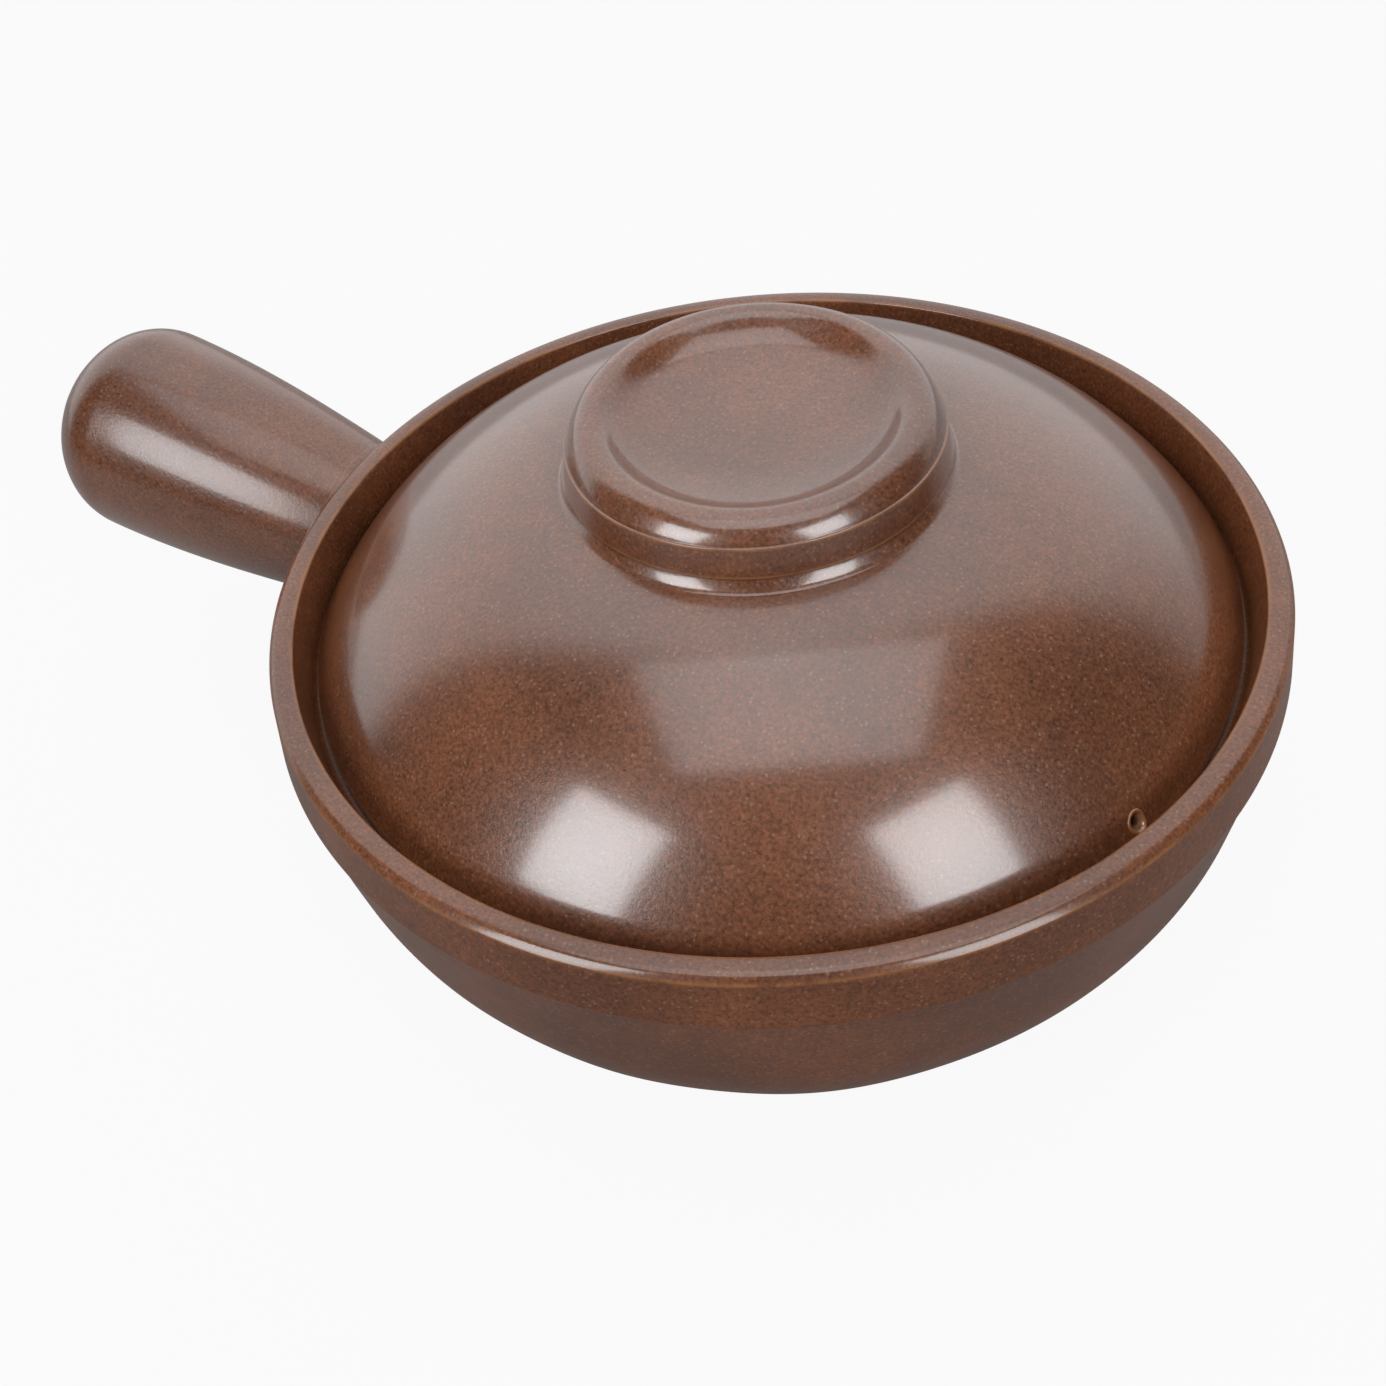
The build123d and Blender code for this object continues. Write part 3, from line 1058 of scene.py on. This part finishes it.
class CLAYPOT_OT_vent_edges(Operator):
    """Set the wiped edges into the lid's steam hole and the handle's firing vent"""

    bl_idname = "claypot.vent_edges"
    bl_label = "Vent edges"

    def execute(self, context):
        scene = context.scene
        lid, handle, finish = scene.claypot_lid, scene.claypot_handle, scene.claypot_finish
        mouth, normal, _ = steam_hole(lid)
        vent_edge("steam_hole_edge", mouth, normal, lid.vent_radius, finish, "lid", "lid_glaze")
        vent, upward = firing_vent(handle, scene.claypot_bowl)
        vent_edge("firing_vent_edge", vent, -upward, handle.vent_radius, finish, "pot", "handle_glaze")
        return {"FINISHED"}


WHITE = (1, 1, 1, 1)

# Floor and room: their radii, the floor's grey, and how white it looks to the camera and in reflections
FLOOR_RADIUS = 6.0
ROOM_RADIUS = 3.0
FLOOR_GREY = (0.36, 0.36, 0.36, 1)
FLOOR_SEEN = 0.93
FLOOR_REFLECTED = 0.05

# Lamps: softboxes by name, turn from the camera in degrees and share of their light, and a panel overhead
SOFTBOXES = (("softbox_left", -48, 1.0), ("softbox_right", 37, 0.9))
SOFTBOX_TILT = radians(33.5)
SOFTBOX_DISTANCE = 1.25
SOFTBOX_SIZE = (0.475, 0.655)
PANEL_HEIGHT = 1.3
PANEL_SIZE = (1.1, 0.8)
PANEL_SHIFT = (0.08, -0.1, 0)
LIGHT_COLOUR = (0.96, 0.98, 1.0)

# White sheet: what a direction's parts behind, up and aside weigh in it, and its soft edge in their sum
SHEET_BEHIND, SHEET_UP, SHEET_ASIDE = 0.956, -0.19, -0.225
SHEET_EDGE = (-0.07, 0.1)


def lamp(name, size, light):
    """A rectangular lamp of an even radiance, which the camera doesn't see."""
    data = bpy.data.lights.new(name, "AREA")
    data.shape = "RECTANGLE"
    data.size, data.size_y = size
    data.energy = light * pi * size[0] * size[1]
    data.color = LIGHT_COLOUR
    placed = linked(name, data)
    placed.visible_camera = False
    return placed


class CLAYPOT_OT_stage(Operator):
    """Set up the floor, the lamps, the room and the camera"""

    bl_idname = "claypot.stage"
    bl_label = "Stage"

    def execute(self, context):
        scene, stage = context.scene, context.scene.claypot_stage
        scene.view_settings.view_transform = "Standard"
        aim = Vector((0, 0, stage.aim_height))
        self.floor()
        self.room(stage)
        self.world(scene)
        self.lamps(stage, aim)
        self.camera(scene, stage, aim)
        return {"FINISHED"}

    def floor(self):
        """A wide pale floor that keeps the pot's shadow."""
        form = bmesh.new()
        bmesh.ops.create_circle(form, cap_ends=True, segments=96, radius=FLOOR_RADIUS)
        floor = shaped("studio_floor", form)
        floor.location.z = bowl_low.z - 0.2 * MM
        material = bpy.data.materials.new("studio_floor")
        tree = emptied(material)
        matte = put(tree, "ShaderNodeBsdfDiffuse", {"Color": FLOOR_GREY})
        white = put(tree, "ShaderNodeEmission", {"Color": WHITE, "Strength": 1.0})
        rays = put(tree, "ShaderNodeLightPath").outputs
        seen = calc(tree, "MAXIMUM", rays["Is Camera Ray"], rays["Is Transmission Ray"])
        factor = scaled(tree, rays["Is Glossy Ray"], FLOOR_REFLECTED, times(tree, seen, FLOOR_SEEN))
        mixed = put(tree, "ShaderNodeMixShader", {0: factor, 1: matte.outputs[0], 2: white.outputs[0]})
        put(tree, "ShaderNodeOutputMaterial", {"Surface": mixed.outputs[0]})
        floor.data.materials.append(material)

    def room(self, stage):
        """A dim room with a white sheet that hangs behind the pot and reaches overhead."""
        form = bmesh.new()
        bmesh.ops.create_uvsphere(form, u_segments=48, v_segments=24, radius=ROOM_RADIUS)
        bmesh.ops.reverse_faces(form, faces=form.faces)
        dome = shaped("studio_room", form)
        dome.visible_camera = False
        dome.visible_shadow = False
        material = bpy.data.materials.new("studio_room")
        tree = emptied(material)
        way = put(tree, "ShaderNodeTexCoord").outputs["Object"]
        inputs = {"Vector": way, "Angle": -stage.view_turn}
        way = put(tree, "ShaderNodeVectorRotate", inputs, rotation_type="Z_AXIS").outputs["Vector"]
        way = put(tree, "ShaderNodeVectorMath", {0: way}, operation="NORMALIZE").outputs[0]
        right, behind, up = put(tree, "ShaderNodeSeparateXYZ", {0: way}).outputs
        place = scaled(tree, up, SHEET_UP, times(tree, behind, SHEET_BEHIND))
        place = scaled(tree, calc(tree, "ABSOLUTE", right), SHEET_ASIDE, place)
        sheet = between(tree, place, *SHEET_EDGE)
        to_the_right = scaled(tree, right, -0.08, 1.0)
        far_right = between(tree, right, 0.72, 0.95, 1.0, 0.5)
        overhead = between(tree, up, 0.6, 0.9, 1.0, 1.22)
        for level in (to_the_right, far_right, overhead):
            sheet = times(tree, sheet, level)
        strength = scaled(tree, sheet, stage.sheet_light, stage.room_light)
        lit = put(tree, "ShaderNodeEmission", {"Color": solid(LIGHT_COLOUR), "Strength": strength})
        put(tree, "ShaderNodeOutputMaterial", {"Surface": lit.outputs[0]})
        dome.data.materials.append(material)

    def world(self, scene):
        """A world that is white to the camera and in mirrors and glass, and lights nothing else."""
        scene.world = bpy.data.worlds.new("studio_white")
        tree = emptied(scene.world)
        rays = put(tree, "ShaderNodeLightPath").outputs
        seen = calc(tree, "MAXIMUM", rays["Is Camera Ray"], rays["Is Glossy Ray"])
        seen = calc(tree, "MAXIMUM", seen, rays["Is Transmission Ray"])
        white = put(tree, "ShaderNodeBackground", {"Color": WHITE, "Strength": seen})
        put(tree, "ShaderNodeOutputWorld", {"Surface": white.outputs[0]})

    def lamps(self, stage, aim):
        """Two softboxes on the camera's side, and a panel overhead."""
        for name, turn, strength in SOFTBOXES:
            turn = radians(turn) + stage.view_turn
            flat = cos(SOFTBOX_TILT)
            way = Vector((flat * sin(turn), -flat * cos(turn), sin(SOFTBOX_TILT)))
            softbox = lamp(name, SOFTBOX_SIZE, stage.softbox_light * strength)
            softbox.matrix_world = facing(aim + way * SOFTBOX_DISTANCE, way)
        panel = lamp("ceiling_panel", PANEL_SIZE, stage.ceiling_light)
        turn = Matrix.Rotation(stage.view_turn, 4, "Z")
        place = aim + Vector((0, 0, PANEL_HEIGHT)) + turn @ Vector(PANEL_SHIFT)
        panel.matrix_world = Matrix.Translation(place) @ turn

    def camera(self, scene, stage, aim):
        """The camera looks past the rim's middle, which lies above and right of the picture's own."""
        turn, tilt, roll = stage.view_turn, stage.view_tilt, stage.view_roll
        forward = Vector((-sin(turn) * cos(tilt), cos(turn) * cos(tilt), -sin(tilt)))
        level = Vector((cos(turn), sin(turn), 0))
        upright = level.cross(forward)
        right = level * cos(roll) + upright * sin(roll)
        up = upright * cos(roll) - level * sin(roll)
        middle = Vector((stage.aim_right_share, stage.aim_up_share, 1)).normalized()
        swing = Vector((0, 0, 1)).rotation_difference(middle).to_matrix()
        right, up, forward_swung = swing @ Matrix((right, up, forward))
        data = bpy.data.cameras.new("photo_camera")
        data.lens = stage.lens
        data.sensor_width = SENSOR_WIDTH
        data.sensor_fit = "HORIZONTAL"
        data.clip_start = 0.01
        camera = linked("photo_camera", data)
        facing_pot = Matrix((right, up, -forward_swung)).transposed().to_4x4()
        camera.matrix_world = Matrix.Translation(aim - forward * stage.view_distance) @ facing_pot
        scene.camera = camera


PIECES = (
    CLAYPOT_OT_bowl,
    CLAYPOT_OT_handle,
    CLAYPOT_OT_collar,
    CLAYPOT_OT_lid,
    CLAYPOT_OT_knob,
    CLAYPOT_OT_vent_edges,
)
GROUPS = {
    "claypot_bowl": ClayPotBowl,
    "claypot_lid": ClayPotLid,
    "claypot_knob": ClayPotKnob,
    "claypot_handle": ClayPotHandle,
    "claypot_finish": ClayPotFinish,
    "claypot_stage": ClayPotStage,
}


class CLAYPOT_PT_panel(Panel):
    """Lists the pot's pieces and their sizes"""

    bl_idname = "CLAYPOT_PT_panel"
    bl_label = "Clay pot"
    bl_space_type = "VIEW_3D"
    bl_region_type = "UI"
    bl_category = "Clay Pot"

    def draw(self, context):
        for operator in (*PIECES, CLAYPOT_OT_stage):
            self.layout.operator(operator.bl_idname)
        for name, group in GROUPS.items():
            box = self.layout.box()
            box.label(text=group.__doc__.rstrip("."))
            for prop in group.__annotations__:
                box.prop(getattr(context.scene, name), prop)


CLASSES = (*GROUPS.values(), *PIECES, CLAYPOT_OT_stage, CLAYPOT_PT_panel)


def register():
    """Adds the sizes to the scene, and the operators and the panel to Blender."""
    for item in CLASSES:
        bpy.utils.register_class(item)
    for name, group in GROUPS.items():
        setattr(bpy.types.Scene, name, PointerProperty(type=group))


def unregister():
    """Takes them out again."""
    for name in GROUPS:
        delattr(bpy.types.Scene, name)
    for item in reversed(CLASSES):
        bpy.utils.unregister_class(item)


def main():
    """Makes the pot and its stage."""
    register()
    bpy.ops.claypot.bowl()
    bpy.ops.claypot.handle()
    bpy.ops.claypot.collar()
    bpy.ops.claypot.lid()
    bpy.ops.claypot.knob()
    bpy.ops.claypot.vent_edges()
    bpy.ops.claypot.stage()
    bpy.context.view_layer.update()


if __name__ == "__main__":
    main()
